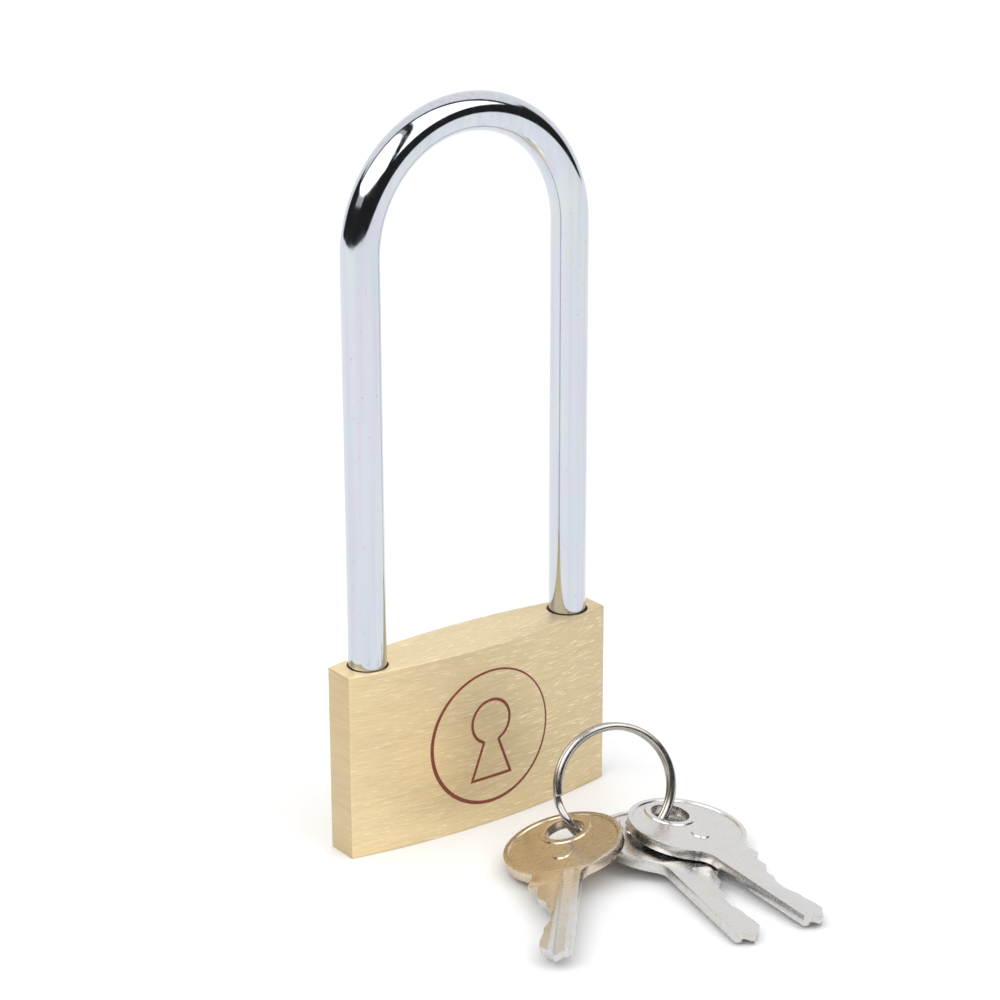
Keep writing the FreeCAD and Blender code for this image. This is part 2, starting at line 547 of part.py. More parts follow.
def make_split_ring():
    """Two flat turns of wire, joined by a short jog; built about Z, then stood up."""
    step = RING_WIRE_DEPTH + RING_TURN_GAP
    half_jog = RING_JOG_ANGLE / 2
    span = 360 - RING_JOG_ANGLE - RING_END_GAP
    upper = Part.Face(wire_section(step / 2, half_jog)).revolve(ORIGIN, Z, span)
    lower = Part.Face(wire_section(-step / 2, -half_jog)).revolve(ORIGIN, Z, -span)
    jog_sections = []
    for i in range(JOG_STATIONS + 1):
        share = i / JOG_STATIONS
        level = -step / 2 * math.cos(math.pi * share)
        jog_sections.append(wire_section(level, RING_JOG_ANGLE * share - half_jog))
    ring = upper.fuse([lower, Part.makeLoft(jog_sections, True)])
    ring.rotate(ORIGIN, Z, RING_JOG_AT)
    ring.Placement = ring_placement() * ring.Placement
    return ring


def ring_placement():
    stand = Rotation(Z, RING_FACING) * Rotation(X, 90 - RING_LEAN)
    return FreeCAD.Placement(RING_CENTRE, stand)


# ---- All nodes ---------------------------------------------------------------------------------------
def make_nodes():
    nodes = {
        "case": make_case(),
        "engraved_mark_paint": Part.makeCompound(mark_layer(MARK_PAINT_BELOW_FACE, MARK_DEPTH)),
        "shackle": make_shackle(),
        "plug": make_plug(),
        "locking_bolt": make_bolt(),
        "bolt_spring": make_bolt_spring(),
        "bolt_bore_plug": make_bolt_bore_plug(),
        "shackle_spring": make_shackle_spring(),
        "heel_pin": retaining_pin(HEEL_PIN_X, HEEL_PIN_Z),
        "plug_pin": retaining_pin(PLUG_PIN_X, PLUG_GROOVE_Z),
        "split_ring": make_split_ring(),
    }
    for index, height in enumerate(PIN_HEIGHTS):
        number = index + 1
        nodes["key_pin_%d" % number] = make_key_pin(index)
        nodes["driver_pin_%d" % number] = make_driver_pin(height)
        nodes["pin_spring_%d" % number] = make_pin_spring(height)
        nodes["chamber_plug_%d" % number] = make_chamber_plug(height)
    key = make_key()
    for name, place in KEY_PLACES.items():
        nodes[name] = place_key(key, place)
    return nodes


def main():
    os.makedirs("parts", exist_ok=True)
    for name, shape in make_nodes().items():
        shape.exportStep("parts/%s.step" % name)


main()
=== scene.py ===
import math

import bmesh
import bpy
from bpy.props import FloatProperty, FloatVectorProperty, IntProperty, PointerProperty
from bpy.types import Operator, Panel, PropertyGroup
from mathutils import Euler, Matrix, Vector


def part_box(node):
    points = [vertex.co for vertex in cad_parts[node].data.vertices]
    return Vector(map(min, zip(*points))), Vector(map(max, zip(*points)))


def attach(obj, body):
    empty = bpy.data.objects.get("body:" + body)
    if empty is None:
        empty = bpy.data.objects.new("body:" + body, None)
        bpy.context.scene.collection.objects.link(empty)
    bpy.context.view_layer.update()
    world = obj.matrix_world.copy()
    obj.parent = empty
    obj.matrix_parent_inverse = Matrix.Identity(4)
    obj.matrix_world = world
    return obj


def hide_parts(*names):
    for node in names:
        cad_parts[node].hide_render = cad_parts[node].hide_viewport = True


bl_info = {
    "name": "Long Shackle Padlock",
    "version": (1, 0, 0),
    "blender": (4, 5, 0),
    "location": "View3D > Sidebar > Padlock",
    "description": "Builds a brass padlock with a long shackle, its keys and a studio round it",
    "category": "Add Mesh",
}

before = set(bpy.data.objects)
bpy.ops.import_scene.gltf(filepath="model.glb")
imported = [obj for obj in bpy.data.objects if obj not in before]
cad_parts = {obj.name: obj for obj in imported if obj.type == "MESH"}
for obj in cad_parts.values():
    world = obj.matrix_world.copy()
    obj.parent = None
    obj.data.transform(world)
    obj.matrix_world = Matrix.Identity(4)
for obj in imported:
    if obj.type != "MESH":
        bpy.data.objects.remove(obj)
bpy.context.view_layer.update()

MM = 0.001
X, Z = Vector((1, 0, 0)), Vector((0, 0, 1))
OVERCUT = 1 * MM               # of a cutting shape past what it cuts
PIN_COUNT = 5                  # of the pin stacks, and of the cuts in each key


def box_size(node):
    low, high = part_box(node)
    return high - low


def box_middle(node):
    low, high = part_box(node)
    return (low + high) / 2


CASE = box_size("case")
SHACKLE_ROD = box_size("shackle").y
SHACKLE_SPREAD = box_size("shackle").x - SHACKLE_ROD


# ---- Sizes and colours a user may change -------------------------------------------------------
class CaseSizes(PropertyGroup):
    width: FloatProperty(name="Width", description="Over the two narrow ends",
                         default=CASE.x, unit="LENGTH")
    height: FloatProperty(name="Height", description="From the bottom face to the top face",
                          default=CASE.z, unit="LENGTH")
    middle: FloatProperty(name="Middle", description="Thickness half way between the ends",
                          default=CASE.y, unit="LENGTH")
    crown: FloatProperty(name="Crown", description="Bulge of each broad face, legs to middle",
                         default=1.6 * MM, unit="LENGTH")
    edge: FloatProperty(name="Edge", description="Rounding of the outer edges",
                        default=0.2 * MM, unit="LENGTH")
    heel_gap: FloatProperty(name="Heel gap", description="Round the heel leg in its hole",
                            default=0.25 * MM, unit="LENGTH")
    toe_gap: FloatProperty(name="Toe gap", description="Round the toe leg in its hole",
                           default=0.35 * MM, unit="LENGTH")


class ShackleSizes(PropertyGroup):
    rod: FloatProperty(name="Rod", description="Diameter of the shackle's rod",
                       default=SHACKLE_ROD, unit="LENGTH")
    spread: FloatProperty(name="Spread", description="Between the axes of the two legs",
                          default=SHACKLE_SPREAD, unit="LENGTH")
    end_round: FloatProperty(name="End", description="Chamfer at the end of each leg",
                             default=0.7 * MM, unit="LENGTH")
    sides: IntProperty(name="Sides", description="Faces round the rod", default=64, min=16)


class RingSizes(PropertyGroup):
    diameter: FloatProperty(name="Diameter", description="Outside of the split ring",
                            default=20.1 * MM, unit="LENGTH")
    width: FloatProperty(name="Wire width", description="Across the ring's radius",
                         default=1.25 * MM, unit="LENGTH")
    depth: FloatProperty(name="Wire depth", description="Along the ring's axis, one turn",
                         default=0.95 * MM, unit="LENGTH")
    gap: FloatProperty(name="Gap", description="Between the two turns",
                       default=0.06 * MM, unit="LENGTH")
    centre: FloatVectorProperty(name="Centre", description="Where the ring stands",
                                subtype="XYZ", default=(0.0112, -0.0229, 0.00974))
    facing: FloatProperty(name="Facing", description="Heading of the ring's axis, degrees",
                          default=-18.3)
    lean: FloatProperty(name="Lean", description="Back from upright, degrees", default=19.8)
    jog_at: FloatProperty(name="Jog", description="Where the wire changes turn, degrees",
                          default=196.0)


class KeySizes(PropertyGroup):
    thickness: FloatProperty(name="Thickness", description="Of the plate", default=1.6 * MM,
                             unit="LENGTH")
    head: FloatProperty(name="Head", description="Diameter of the round head",
                        default=18.8 * MM, unit="LENGTH")
    hole: FloatProperty(name="Hole", description="Diameter of the hole for the ring",
                        default=6.1 * MM, unit="LENGTH")
    hole_offset: FloatProperty(name="Hole offset", description="From the head's centre",
                               default=4.2 * MM, unit="LENGTH")
    rim: FloatProperty(name="Rim", description="Width of the raised rim", default=0.85 * MM,
                       unit="LENGTH")
    collar: FloatProperty(name="Collar", description="Raised collar round the hole",
                          default=1.1 * MM, unit="LENGTH")
    field: FloatProperty(name="Field", description="Depth of the sunk field",
                         default=0.2 * MM, unit="LENGTH")
    shoulder: FloatProperty(name="Shoulder", description="From the head's centre",
                            default=12.0 * MM, unit="LENGTH")


class PadlockColours(PropertyGroup):
    brass: FloatVectorProperty(name="Brass", description="Brushed brass of the case",
                               subtype="COLOR", default=(0.905, 0.73, 0.435))
    paint: FloatVectorProperty(name="Mark paint", description="Paint in the engraved lines",
                               subtype="COLOR", default=(0.21, 0.042, 0.018))
    zinc: FloatVectorProperty(name="Zinc", description="Bright zinc plating of the shackle",
                              subtype="COLOR", default=(0.635, 0.665, 0.71))
    ring: FloatVectorProperty(name="Ring", description="Nickel plating of the split ring",
                              subtype="COLOR", default=(0.48, 0.455, 0.42))
    key: FloatVectorProperty(name="Key", description="Worn nickel plating of the keys",
                             subtype="COLOR", default=(0.68, 0.665, 0.65))
    steel: FloatVectorProperty(name="Steel", description="Turned steel inside the lock",
                               subtype="COLOR", default=(0.48, 0.48, 0.49))


class StudioSettings(PropertyGroup):
    camera_at: FloatVectorProperty(name="Camera", description="Where the camera stands",
                                   subtype="XYZ", default=(-0.239993, -0.328926, 0.19756))
    azimuth: FloatProperty(name="Azimuth", description="Camera's angle round the lock, degrees",
                           default=-36.792)
    elevation: FloatProperty(name="Elevation", description="Camera's height angle, degrees",
                             default=19.524)
    roll: FloatProperty(name="Roll", description="Camera's roll, degrees", default=-0.11)
    lens: FloatProperty(name="Lens", description="Focal length, millimetres", default=100.22)
    softbox: FloatProperty(name="Softbox", description="Power of the light at the left, watts",
                           default=1.5)
    surround: FloatProperty(name="Surround", description="Brightness of the white walls",
                            default=1.0)
    panels: FloatProperty(name="Panels", description="Brightness of the panels overhead",
                          default=2.3)
    front: FloatProperty(name="Front", description="Brightness of the open, dark front",
                         default=0.02)
    floor: FloatProperty(name="Floor", description="Width of the white paper on the table",
                         default=2.3, unit="LENGTH")


# ---- Modelling helpers ---------------------------------------------------------------------------
def deselect_all():
    for piece in list(bpy.context.selected_objects):
        piece.select_set(False)


def active_piece(name):
    piece = bpy.context.object
    piece.name = name
    piece.data.name = name
    return piece


def make_active(piece):
    deselect_all()
    piece.select_set(True)
    bpy.context.view_layer.objects.active = piece


def start_editing(piece):
    make_active(piece)
    bpy.ops.object.mode_set(mode="EDIT")
    bpy.ops.mesh.select_all(action="DESELECT")


def stop_editing():
    bpy.ops.object.mode_set(mode="OBJECT")


def select_faces(piece, wanted):
    """Selects, in edit mode, the faces that pass a test."""
    bpy.ops.mesh.select_all(action="DESELECT")
    bpy.ops.mesh.select_mode(type="FACE")
    mesh = bmesh.from_edit_mesh(piece.data)
    for face in mesh.faces:
        face.select_set(bool(wanted(face)))
    bmesh.update_edit_mesh(piece.data)


def select_edges(piece, wanted):
    """Selects, in edit mode, the edges that pass a test."""
    bpy.ops.mesh.select_all(action="DESELECT")
    bpy.ops.mesh.select_mode(type="EDGE")
    mesh = bmesh.from_edit_mesh(piece.data)
    for edge in mesh.edges:
        edge.select_set(bool(wanted(edge)))
    bmesh.update_edit_mesh(piece.data)


def apply_place(piece):
    make_active(piece)
    bpy.ops.object.transform_apply(location=True, rotation=True, scale=True)


def rod(name, radius, start, end, sides=64):
    """A cylinder between two points, its place in its mesh."""
    along = end - start
    deselect_all()
    bpy.ops.mesh.primitive_cylinder_add(
        vertices=sides, radius=radius, depth=along.length, location=(start + end) / 2,
        rotation=along.to_track_quat("Z", "Y").to_euler())
    piece = active_piece(name)
    apply_place(piece)
    return piece


def block(name, low, high):
    deselect_all()
    bpy.ops.mesh.primitive_cube_add(size=1, location=(low + high) / 2)
    piece = active_piece(name)
    piece.scale = high - low
    apply_place(piece)
    return piece


def combine(piece, tool, operation):
    """Cuts, joins or intersects a piece with a tool, which is then removed."""
    make_active(piece)
    modifier = piece.modifiers.new("combine", "BOOLEAN")
    modifier.operation = operation
    modifier.solver = "EXACT"
    modifier.object = tool
    bpy.ops.object.modifier_apply(modifier=modifier.name)
    bpy.data.objects.remove(tool)


def cut(piece, *tools):
    for tool in tools:
        combine(piece, tool, "DIFFERENCE")


def recalculate_outside(piece):
    start_editing(piece)
    bpy.ops.mesh.select_all(action="SELECT")
    bpy.ops.mesh.remove_doubles(threshold=1e-7)
    bpy.ops.mesh.normals_make_consistent(inside=False)
    stop_editing()


def smooth(piece, degrees):
    make_active(piece)
    bpy.ops.object.shade_smooth_by_angle(angle=math.radians(degrees))


def copy_of_node(name, node):
    """A merged copy of a CAD node's mesh, as a piece of its own."""
    deselect_all()
    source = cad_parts[node]
    piece = bpy.data.objects.new(name, source.data.copy())
    bpy.context.scene.collection.objects.link(piece)
    start_editing(piece)
    bpy.ops.mesh.select_all(action="SELECT")
    bpy.ops.mesh.remove_doubles(threshold=1e-6)
    stop_editing()
    return piece


def dress(piece, material, slot, body, *nodes):
    """Gives a finished piece its material and its body, and hides the CAD nodes it stands for."""
    piece.data.materials.clear()
    piece.data.materials.append(material)
    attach(piece, body)
    if nodes:
        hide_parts(*nodes)


# ---- Material helpers ----------------------------------------------------------------------------
def metal(name, colour, roughness, metallic=1.0):
    material = bpy.data.materials.new(name)
    material.use_nodes = True
    shader = material.node_tree.nodes["Principled BSDF"]
    shader.inputs["Base Color"].default_value = (*colour, 1)
    shader.inputs["Metallic"].default_value = metallic
    shader.inputs["Roughness"].default_value = roughness
    return material


def add_node(material, kind, **values):
    made = material.node_tree.nodes.new(kind)
    for name, value in values.items():
        setattr(made, name, value)
    return made


def connect(material, source, target):
    material.node_tree.links.new(source, target)


def own_place(material):
    """The piece's own coordinates, which go with it when it moves."""
    return add_node(material, "ShaderNodeTexCoord").outputs["Object"]


def pattern(material, stretch, detail=3.0, roughness=0.5, shift=(0, 0, 0), turn=(0, 0, 0)):
    """Noise on the piece's own coordinates, so many features to the metre along each axis."""
    mapping = add_node(material, "ShaderNodeMapping")
    mapping.inputs["Scale"].default_value = stretch
    mapping.inputs["Location"].default_value = shift
    mapping.inputs["Rotation"].default_value = turn
    noise = add_node(material, "ShaderNodeTexNoise")
    noise.inputs["Scale"].default_value = 1.0
    noise.inputs["Detail"].default_value = detail
    noise.inputs["Roughness"].default_value = roughness
    connect(material, own_place(material), mapping.inputs["Vector"])
    connect(material, mapping.outputs["Vector"], noise.inputs["Vector"])
    return noise.outputs["Fac"]


def remap(material, value, low_in, high_in, low_out, high_out):
    made = add_node(material, "ShaderNodeMapRange")
    for name, number in (("From Min", low_in), ("From Max", high_in),
                         ("To Min", low_out), ("To Max", high_out)):
        made.inputs[name].default_value = number
    connect(material, value, made.inputs["Value"])
    return made.outputs["Result"]


def ramp(material, value, *stops):
    """A colour ramp from (place, colour) stops."""
    made = add_node(material, "ShaderNodeValToRGB")
    elements = made.color_ramp.elements
    while len(elements) < len(stops):
        elements.new(0.5)
    for element, (place, colour) in zip(elements, stops):
        element.position = place
        element.color = (*colour, 1)
    connect(material, value, made.inputs["Fac"])
    return made.outputs["Color"]


def blend_colours(material, share, first, second, kind="MIX"):
    made = add_node(material, "ShaderNodeMix", data_type="RGBA", blend_type=kind)
    for socket, value in ((made.inputs[6], first), (made.inputs[7], second)):
        if isinstance(value, bpy.types.NodeSocket):
            connect(material, value, socket)
        else:
            socket.default_value = (*value, 1)
    if isinstance(share, float):
        made.inputs[0].default_value = share
    else:
        connect(material, share, made.inputs[0])
    return made.outputs[2]


def calculate(material, operation, first, second):
    made = add_node(material, "ShaderNodeMath", operation=operation)
    for socket, value in zip(made.inputs, (first, second)):
        if isinstance(value, float):
            socket.default_value = value
        else:
            connect(material, value, socket)
    return made.outputs[0]


def raise_surface(material, height, distance, strength=1.0):
    bump = add_node(material, "ShaderNodeBump")
    bump.inputs["Distance"].default_value = distance
    bump.inputs["Strength"].default_value = strength
    connect(material, height, bump.inputs["Height"])
    shader = material.node_tree.nodes["Principled BSDF"]
    connect(material, bump.outputs["Normal"], shader.inputs["Normal"])


def set_input(material, name, value):
    connect(material, value, material.node_tree.nodes["Principled BSDF"].inputs[name])


def tinted(colour, factor):
    return tuple(min(1.0, channel * factor) for channel in colour)


# ---- Finishes --------------------------------------------------------------------------------------
def facing(material, axis, threshold=0.7):
    """One where the surface faces along an axis, either way, and zero elsewhere."""
    normal = add_node(material, "ShaderNodeNewGeometry")
    split = add_node(material, "ShaderNodeSeparateXYZ")
    connect(material, normal.outputs["Normal"], split.inputs[0])
    size = calculate(material, "ABSOLUTE", split.outputs[axis], 0.0)
    return calculate(material, "GREATER_THAN", size, threshold)


def brushed_pattern(material, length, across, detail, shift=(0, 0, 0)):
    """Strokes along X on the broad faces and the top, and along Y on the narrow ends."""
    broad = pattern(material, (length, 90, across), detail, 0.55, shift)
    top = pattern(material, (length, across, 90), detail, 0.55, shift)
    end = pattern(material, (90, length * 0.4, across * 0.9), detail, 0.55, shift)
    both = blend_colours(material, facing(material, "Z"), broad, top)
    return blend_colours(material, facing(material, "X"), both, end)


def brushed_brass(colour):
    """Brass dressed on a belt: short bright and dark strokes along the case, with painted shade on the
    narrow ends and painted shade that darkens it towards the toe end.
    """
    material = metal("brushed_brass", colour, 0.42, 0.7)
    strokes = brushed_pattern(material, 260, 5200, 3.0)
    dashes = brushed_pattern(material, 520, 5800, 1.0, (7, 2, 5))
    tone = ramp(material, strokes, (0.30, tinted(colour, 0.90)), (0.50, colour),
                (0.70, tinted(colour, 1.05)))
    bands = brushed_pattern(material, 30, 420, 2.0, (3, 1, 2))
    bands = ramp(material, bands, (0.35, (0.95, 0.95, 0.95)), (0.65, (1.0, 1.0, 1.0)))
    tone = blend_colours(material, 1.0, tone, bands, "MULTIPLY")
    # Painted shade: the narrow ends are darkened in the colour to stand for the shade they sit in.
    painted_end_shade = blend_colours(material, facing(material, "X"), (1.0, 1.0, 1.0), (0.74, 0.725, 0.72))
    tone = blend_colours(material, 1.0, tone, painted_end_shade, "MULTIPLY")
    # Painted shade: the brass is darkened along X, more towards the toe end, to stand for the light
    # falling off across the case.
    parts = add_node(material, "ShaderNodeSeparateXYZ")
    connect(material, own_place(material), parts.inputs[0])
    along = remap(material, parts.outputs["X"], -CASE.x / 2, CASE.x / 2, 0.0, 1.0)
    painted_toe_shade = ramp(material, along, (0.05, (1.0, 1.0, 0.99)), (0.95, (0.79, 0.79, 0.81)))
    tone = blend_colours(material, 1.0, tone, painted_toe_shade, "MULTIPLY")
    sparkle = remap(material, dashes, 0.60, 0.72, 0.0, 1.0)
    sparkle_share = remap(material, facing(material, "X"), 0.0, 1.0, 0.85, 0.25)
    sparkle = calculate(material, "MULTIPLY", sparkle, sparkle_share)
    lift = (0.09, 0.15, 0.20)
    pale = tuple(min(1.0, channel + more) for channel, more in zip(colour, lift))
    set_input(material, "Base Color", blend_colours(material, sparkle, tone, pale))
    set_input(material, "Roughness", remap(material, strokes, 0.3, 0.7, 0.36, 0.48))
    raise_surface(material, strokes, 0.00002, 0.3)
    return material


def mark_paint(colour):
    """Matt red-brown paint, thin and uneven in its lines."""
    material = metal("mark_paint", colour, 0.55, 0.0)
    noise = pattern(material, (2200, 2200, 2200), 4.0, 0.65)
    set_input(material, "Base Color", ramp(material, noise, (0.3, tinted(colour, 0.6)),
                                           (0.7, tinted(colour, 1.7))))
    raise_surface(material, noise, 0.00003, 0.6)
    return material


def bright_zinc(colour):
    """Bright zinc plating: mirror-like, with a faint pastel film, streaks, haze and pits."""
    material = metal("bright_zinc", colour, 0.08)
    film = pattern(material, (260, 260, 60), 2.0, 0.5)
    pastel = ramp(material, film, (0.32, (0.93, 1.0, 0.99)), (0.44, (1.0, 0.95, 0.99)),
                  (0.54, (0.97, 0.98, 1.0)), (0.68, (1.0, 1.0, 0.94)))
    tone = blend_colours(material, 1.0, colour, pastel, "MULTIPLY")
    streaks = pattern(material, (1100, 1100, 24), 2.0, 0.5, (4, 4, 4))
    streaks = ramp(material, streaks, (0.36, (0.94, 0.94, 0.945)), (0.58, (1.0, 1.0, 1.0)))
    tone = blend_colours(material, 1.0, tone, streaks, "MULTIPLY")
    pits = pattern(material, (2600, 2600, 1500), 1.0, 0.5, (9, 2, 3))
    pits = remap(material, pits, 0.73, 0.77, 0.0, 0.5)
    set_input(material, "Base Color", blend_colours(material, pits, tone, (0.3, 0.29, 0.3)))
    haze = pattern(material, (900, 900, 260), 3.0, 0.6, (2, 7, 1))
    set_input(material, "Roughness", remap(material, haze, 0.35, 0.7, 0.05, 0.14))
    ripple = pattern(material, (1300, 1300, 420), 3.0, 0.55, (5, 3, 8))
    raise_surface(material, ripple, 0.00003, 0.18)
    return material


def ring_nickel(colour):
    material = metal("ring_nickel", colour, 0.24)
    haze = pattern(material, (700, 700, 700), 2.0, 0.5)
    set_input(material, "Roughness", remap(material, haze, 0.35, 0.7, 0.20, 0.28))
    set_input(material, "Base Color", ramp(material, haze, (0.3, tinted(colour, 0.9)),
                                           (0.7, tinted(colour, 1.05))))
    return material


def near_point(material, point, inner, outer):
    """One within the inner distance of a point, falling to zero at the outer distance."""
    measure = add_node(material, "ShaderNodeVectorMath", operation="DISTANCE")
    measure.inputs[1].default_value = point
    connect(material, own_place(material), measure.inputs[0])
    return remap(material, measure.outputs["Value"], inner, outer, 1.0, 0.0)


def key_nickel(name, colour, warmth, head_at, grain_turn):
    """Worn nickel on stamped brass: fine grinding lines, brown edges and a tarnished head."""
    material = metal(name, colour, 0.26)
    lines = pattern(material, (400, 4200, 1800), 2.0, 0.5, turn=(0, 0, grain_turn))
    stain = pattern(material, (420, 420, 420), 3.0, 0.6, (4, 1, 9))
    rough_edge = pattern(material, (1500, 1500, 1500), 3.0, 0.7, (6, 6, 2))
    brown = tuple(a * b for a, b in zip(colour, (1.0, 0.86, 0.68)))
    tarnish = ramp(material, stain, (0.55, colour), (0.95, brown))
    head = near_point(material, head_at, 9 * MM, 20 * MM)
    tarnish = blend_colours(material, calculate(material, "MULTIPLY", head, warmth), tarnish,
                            brown)
    tone = ramp(material, lines, (0.3, (0.95, 0.95, 0.95)), (0.7, (1.0, 1.0, 1.0)))
    face = blend_colours(material, 1.0, tarnish, tone, "MULTIPLY")
    side = calculate(material, "SUBTRACT", 1.0, facing(material, "Z", 0.6))
    dirt = remap(material, rough_edge, 0.46, 0.70, 0.0, 0.34)
    dirt = calculate(material, "MULTIPLY", dirt, side)
    grimy = tuple(a * b for a, b in zip(colour, (0.68, 0.60, 0.52)))
    set_input(material, "Base Color", blend_colours(material, dirt, face, grimy))
    set_input(material, "Roughness", remap(material, lines, 0.3, 0.7, 0.20, 0.30))
    raise_surface(material, lines, 0.00001, 0.25)
    return material


def turned_metal(name, colour, roughness):
    """Metal turned or drawn on a machine, for the small parts inside."""
    material = metal(name, colour, roughness)
    lines = pattern(material, (5200, 2600, 5200), 3.0, 0.6)
    set_input(material, "Base Color", ramp(material, lines, (0.3, tinted(colour, 0.84)),
                                           (0.7, tinted(colour, 1.1))))
    set_input(material, "Roughness",
              remap(material, lines, 0.3, 0.7, roughness * 0.8, roughness * 1.3))
    raise_surface(material, lines, 0.00002, 0.3)
    return material


# ---- Case ------------------------------------------------------------------------------------------
BOLT_AT = box_middle("locking_bolt")
BOLT_RADIUS = box_size("locking_bolt").z / 2
BOLT_BORE = BOLT_RADIUS + 0.06 * MM
PLUG_RADIUS = box_size("plug").x / 2
PLUG_GAP = 0.05 * MM           # round the plug and past its end, in its bore
PLUG_TOP = BOLT_AT.z - BOLT_BORE - 0.3 * MM
TOE_BELOW_BOLT = 1.9 * MM      # of the toe leg's end below the bolt
TOE_END = BOLT_AT.z - BOLT_RADIUS - TOE_BELOW_BOLT
TOE_FLOOR_GAP = 0.4 * MM       # under the toe leg's end
HEEL_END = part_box("shackle")[0].z
TAIL_POCKET_RADIUS = 3.05 * MM
TAIL_POCKET_START = 15 * MM
CHAMBER_RADIUS = 1.05 * MM
BULGE_STEPS = 192              # along each broad face, so that its reflections run smooth


def case_blank(sizes, spread, rod_diameter):
    """The drawn section: two flat narrow ends between two broad faces that bulge."""
    leg_x = spread / 2
    radius = (leg_x**2 + sizes.crown**2) / (2 * sizes.crown)
    half_middle = sizes.middle / 2
    centre_y = radius - half_middle
    end_x = sizes.width / 2
    half_end = math.sqrt(radius**2 - end_x**2) - centre_y
    deselect_all()
    bpy.ops.mesh.primitive_plane_add(size=1, location=(-end_x, 0, sizes.height / 2),
                                     rotation=(0, math.pi / 2, 0))
    case = active_piece("case_body")
    case.scale = (sizes.height, 2 * half_end, 1)
    apply_place(case)
    sweep = 2 * math.asin(end_x / radius)
    for side in (-1, 1):
        start_editing(case)
        select_edges(case, lambda edge: all(
            v.co.y * side > 0 and abs(v.co.x + end_x) < 1e-6 for v in edge.verts))
        bpy.ops.mesh.spin(steps=BULGE_STEPS, angle=side * sweep, center=(0, -side * centre_y, 0),
                          axis=(0, 0, 1))
        stop_editing()
    start_editing(case)
    bpy.ops.mesh.select_mode(type="EDGE")
    for wanted in (lambda v: v.x > end_x - 1e-5, lambda v: v.z < 1e-6,
                   lambda v: v.z > sizes.height - 1e-6):
        select_edges(case, lambda edge: (edge.is_boundary or edge.is_wire)
                     and all(wanted(v.co) for v in edge.verts))
        bpy.ops.mesh.edge_face_add()
    bpy.ops.mesh.select_all(action="SELECT")
    bpy.ops.mesh.remove_doubles(threshold=1e-7)
    bpy.ops.mesh.normals_make_consistent(inside=False)
    bpy.ops.mesh.select_all(action="DESELECT")
    bpy.ops.mesh.edges_select_sharp(sharpness=math.radians(30))
    bpy.ops.mesh.bevel(offset=sizes.edge, segments=3, affect="EDGES")
    stop_editing()
    return case


def mark_groove():
    """The engraved lines: the paint's own shape, drawn out through the front face."""
    groove = copy_of_node("mark_groove", "engraved_mark_paint")
    start_editing(groove)
    select_faces(groove, lambda face: face.normal.y < -0.9)
    bpy.ops.transform.translate(value=(0, -OVERCUT, 0))
    stop_editing()
    return groove


class PADLOCK_OT_case(Operator):
    """Adds the brushed brass case with its bores, holes and engraved mark"""
    bl_idname = "padlock.case"
    bl_label = "Case"

    def execute(self, context):
        sizes = context.scene.padlock_case
        shackle = context.scene.padlock_shackle
        leg_x, leg_radius = shackle.spread / 2, shackle.rod / 2
        top, end = sizes.height + OVERCUT, sizes.width / 2 + OVERCUT
        case = case_blank(sizes, shackle.spread, shackle.rod)
        heel_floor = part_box("shackle_spring")[0].z
        toe_floor = TOE_END - TOE_FLOOR_GAP
        bolt_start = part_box("bolt_spring")[0].x
        cut(case, mark_groove(),
            rod("heel_hole", leg_radius + sizes.heel_gap, Vector((-leg_x, 0, heel_floor)),
                Vector((-leg_x, 0, top)), 96),
            rod("toe_hole", leg_radius + sizes.toe_gap, Vector((leg_x, 0, toe_floor)),
                Vector((leg_x, 0, top)), 96),
            rod("plug_bore", PLUG_RADIUS + PLUG_GAP, Vector((0, 0, -OVERCUT)),
                Vector((0, 0, PLUG_TOP + PLUG_GAP)), 96),
            rod("tail_pocket", TAIL_POCKET_RADIUS, Vector((0, 0, TAIL_POCKET_START)),
                Vector((0, 0, BOLT_AT.z)), 48),
            rod("bolt_bore", BOLT_BORE, Vector((bolt_start, 0, BOLT_AT.z)),
                Vector((end, 0, BOLT_AT.z)), 64))
        for number in range(1, PIN_COUNT + 1):
            height = box_middle("chamber_plug_%d" % number).z
            cut(case, rod("chamber", CHAMBER_RADIUS, Vector((0, 0, height)),
                          Vector((end, 0, height)), 40))
        for node in ("heel_pin", "plug_pin"):
            low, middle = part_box(node)[0], box_middle(node)
            cut(case, rod("pin_hole", box_size(node).x / 2, Vector((middle.x, low.y, middle.z)),
                          Vector((middle.x, sizes.middle, middle.z)), 40))
        smooth(case, 25)
        start_editing(case)
        select_faces(case, lambda face: abs(face.normal.y) > 0.95)
        bpy.ops.mesh.faces_shade_flat()
        stop_editing()
        dress(case, brushed_brass(context.scene.padlock_colours.brass), "case_brass", "case",
              "case")
        return {"FINISHED"}


class PADLOCK_OT_mark(Operator):
    """Paints the engraved ring and keyhole on the front face"""
    bl_idname = "padlock.mark"
    bl_label = "Mark"

    def execute(self, context):
        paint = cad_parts["engraved_mark_paint"]
        finish_node(paint, mark_paint(context.scene.padlock_colours.paint))
        return {"FINISHED"}


def finish_node(node, material):
    """Puts a finish on a CAD node that stays as it is."""
    if not node.material_slots:
        node.data.materials.append(material)
    for place in node.material_slots:
        place.material = material


# ---- Shackle -----------------------------------------------------------------------------------------
SHACKLE_LIFT = 12.5 * MM       # from shut to fully raised
BESIDE_PIN = 0.75 * MM         # from the heel pin's axis to the end of the leg's flat
FLAT_DEPTH = 1 * MM            # of the heel leg's flat, and of the groove at its foot
GROOVE_HEIGHT = 1.8 * MM
NOTCH_DEPTH = 2.15 * MM
NOTCH_GAP = 0.3 * MM           # above and below the bolt
LEG_STEPS, BOW_STEPS = 12, 96


def extrude_leg(length):
    """Draws the selected circle up or down in even steps."""
    for step in range(LEG_STEPS):
        bpy.ops.mesh.extrude_region_move(
            TRANSFORM_OT_translate={"value": (0, 0, length / LEG_STEPS)})


